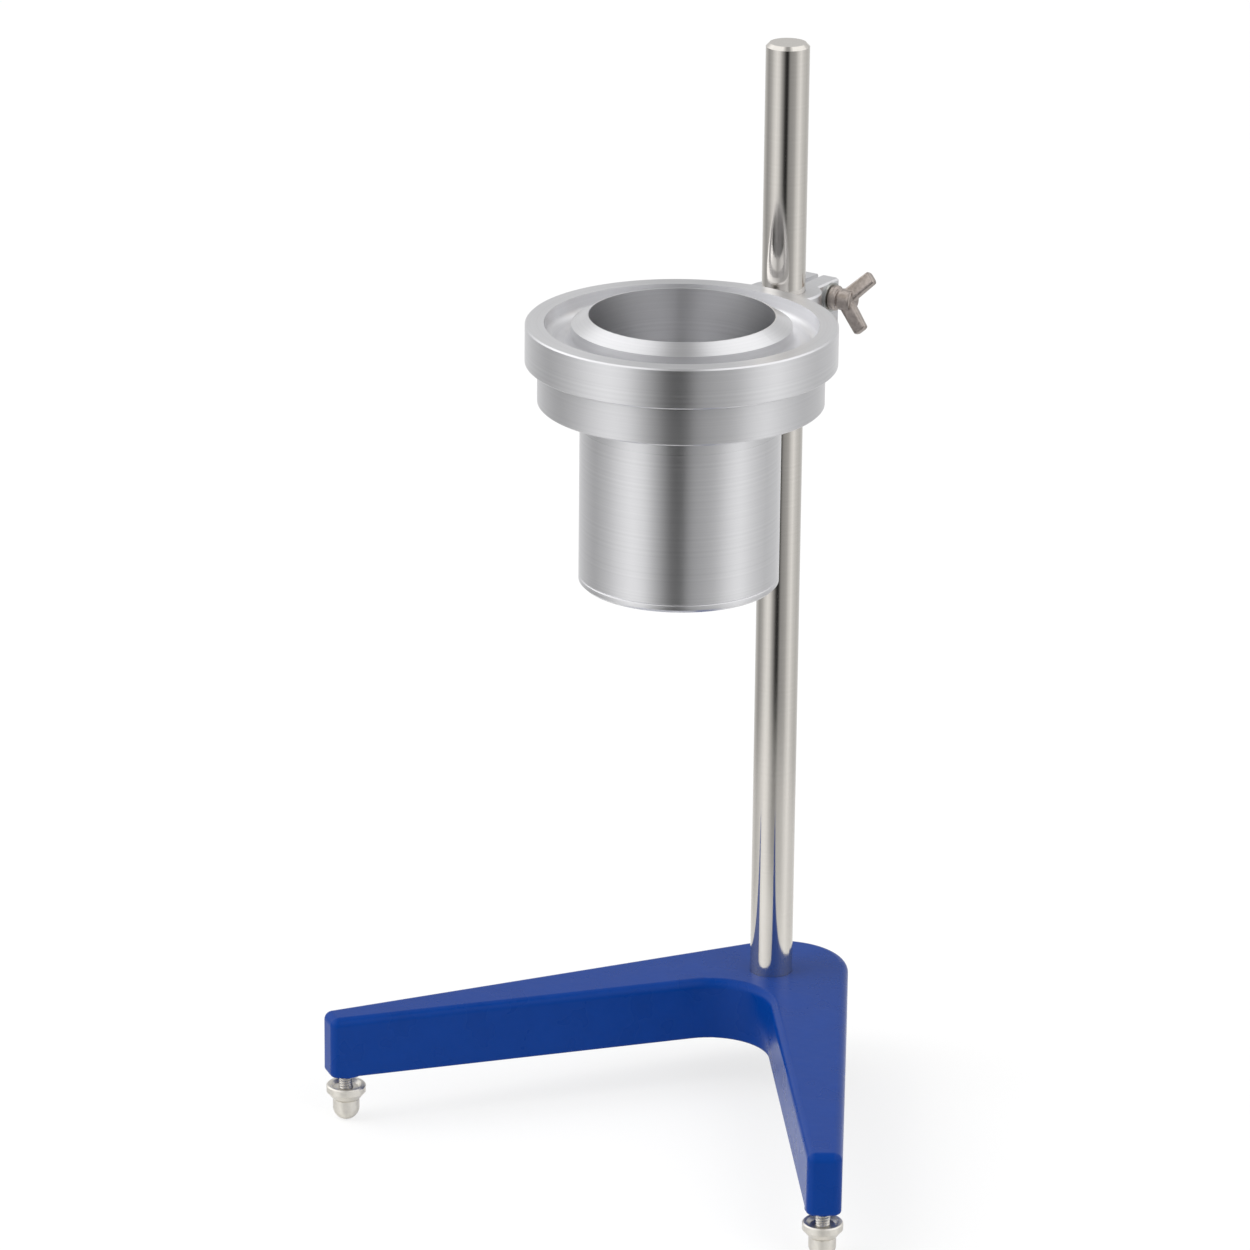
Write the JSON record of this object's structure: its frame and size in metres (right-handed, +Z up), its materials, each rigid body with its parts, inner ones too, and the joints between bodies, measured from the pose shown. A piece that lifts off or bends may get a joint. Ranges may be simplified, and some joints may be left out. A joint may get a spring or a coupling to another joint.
{
  "type": "viscosity cup on stand",
  "caption": "Turned aluminium flow cup with overflow gallery, hung in a ring holder that clamps on a steel rod above a V-shaped cast base with levelling feet.",
  "frame": {"origin": "middle of the stand's footprint, on the surface that the feet stand on", "axes": "+Z up along the rod, -Y towards the open end of the V where the cup hangs, +X towards the wing screw"},
  "size_m": [0.1702, 0.1262, 0.3019],
  "materials": {
    "casting_paint": "glossy blue enamel on a casting",
    "rod_steel": "polished stainless steel",
    "zinc_steel": "zinc plated",
    "cup_aluminium": "fine turned",
    "nozzle_steel": "turned stainless steel",
    "holder_aluminium": "turned and milled",
    "wing_metal": "cast, dull nickel plated",
    "foot_nickel": "turned and nickel plated"
  },
  "bodies": {
    "stand": {"base_casting": "casting_paint", "rod_washer": "zinc_steel", "rod_lock_washer": "zinc_steel"},
    "rod": {"support_rod": "rod_steel", "rod_screw": "zinc_steel"},
    "holder": {"ring_holder": "holder_aluminium"},
    "cup": {"cup_body": "cup_aluminium", "orifice_nozzle": "nozzle_steel"},
    "screw_washer": {"clamp_washer": "wing_metal"},
    "wing_screw": {"wing_head": "wing_metal", "clamp_stud": "wing_metal"},
    "foot_left": {"foot_glide_left": "foot_nickel"},
    "foot_screw_left": {"foot_disc_left": "foot_nickel", "foot_stud_left": "foot_nickel"},
    "foot_right": {"foot_glide_right": "foot_nickel"},
    "foot_screw_right": {"foot_disc_right": "foot_nickel", "foot_stud_right": "foot_nickel"},
    "foot_rear": {"foot_glide_rear": "foot_nickel"},
    "foot_screw_rear": {"foot_disc_rear": "foot_nickel", "foot_stud_rear": "foot_nickel"}
  },
  "joints": [
    {"name": "rod_turn", "type": "hinge", "parent": "stand", "child": "rod", "pos_m": [0, 0.03868, 0.0317], "axis": [0, 0, 1], "continuous": true},
    {"name": "holder_height", "type": "slide", "parent": "rod", "child": "holder", "axis": [0, 0, 1], "range_m": [-0.125, 0.065]},
    {"name": "cup_lift", "type": "slide", "parent": "holder", "child": "cup", "axis": [0, 0, 1], "range_m": [0, 0.066]},
    {"name": "wing_travel", "type": "slide", "parent": "holder", "child": "screw_washer", "axis": [1, 0, 0], "range_m": [0, 0.0014]},
    {"name": "wing_turn", "type": "hinge", "parent": "screw_washer", "child": "wing_screw", "pos_m": [0.0062, 0.05298, 0.228], "axis": [1, 0, 0], "range_deg": [0, 720]},
    {"name": "foot_travel_left", "type": "slide", "parent": "stand", "child": "foot_left", "axis": [0, 0, 1], "range_m": [-0.0056, 0.0028]},
    {"name": "foot_turn_left", "type": "hinge", "parent": "foot_left", "child": "foot_screw_left", "pos_m": [-0.07904, -0.05686, 0.014], "axis": [0, 0, 1], "range_deg": [-2880, 1440]},
    {"name": "foot_travel_right", "type": "slide", "parent": "stand", "child": "foot_right", "axis": [0, 0, 1], "range_m": [-0.0056, 0.0028]},
    {"name": "foot_turn_right", "type": "hinge", "parent": "foot_right", "child": "foot_screw_right", "pos_m": [0.07904, -0.05686, 0.014], "axis": [0, 0, 1], "range_deg": [-2880, 1440]},
    {"name": "foot_travel_rear", "type": "slide", "parent": "stand", "child": "foot_rear", "axis": [0, 0, 1], "range_m": [-0.0056, 0.0028]},
    {"name": "foot_turn_rear", "type": "hinge", "parent": "foot_rear", "child": "foot_screw_rear", "pos_m": [0, 0.05328, 0.014], "axis": [0, 0, 1], "range_deg": [-2880, 1440]}
  ],
  "couplings": [
    {"joint": "wing_turn", "follows": "wing_travel", "rad_per_m": 8976},
    {"joint": "foot_turn_left", "follows": "foot_travel_left", "rad_per_m": 8976},
    {"joint": "foot_turn_right", "follows": "foot_travel_right", "rad_per_m": 8976},
    {"joint": "foot_turn_rear", "follows": "foot_travel_rear", "rad_per_m": 8976}
  ]
}
